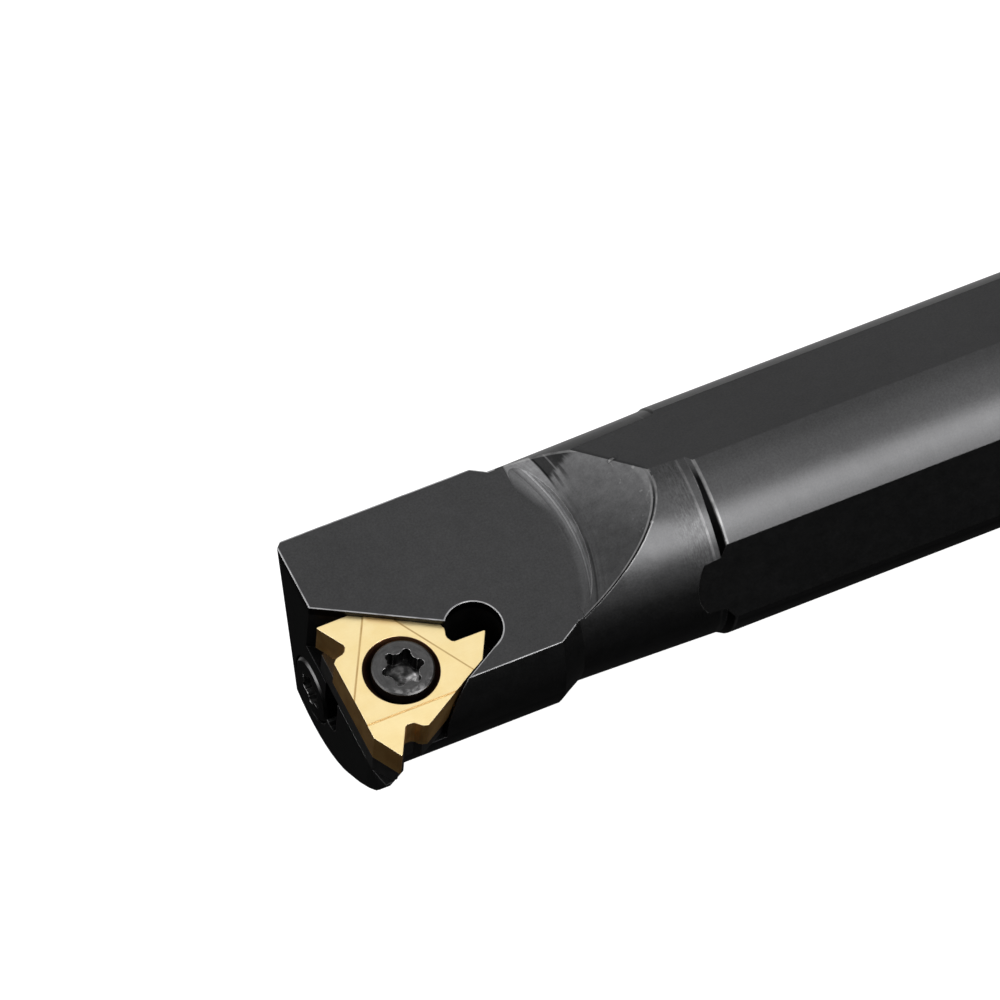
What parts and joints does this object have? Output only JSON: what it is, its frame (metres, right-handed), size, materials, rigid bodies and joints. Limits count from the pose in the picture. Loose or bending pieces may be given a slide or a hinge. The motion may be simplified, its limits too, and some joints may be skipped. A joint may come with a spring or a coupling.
{
  "type": "threading boring bar",
  "caption": "Round steel boring bar with flats along its shank and a screwed-on, gold-coloured triangular threading insert in a tilted pocket at its front end.",
  "frame": {"origin": "centre of the rear face, on the shank's axis", "axes": "+X along the bar, from the cutting end to the rear end; +Z is the normal of the shank's top flat; the cutting tooth points towards -Y"},
  "size_m": [0.1802, 0.0242, 0.0197],
  "materials": {
    "black_oxide_steel": "black oxide, satin",
    "shim_carbide": "ground, dark grey",
    "coated_carbide": "thin gold-coloured coating",
    "screw_steel": "dark phosphate, satin"
  },
  "bodies": {
    "root": {"bar": "black_oxide_steel", "shim": "shim_carbide", "insert": "coated_carbide", "insert_screw": "screw_steel", "shim_screw": "screw_steel"}
  },
  "joints": []
}
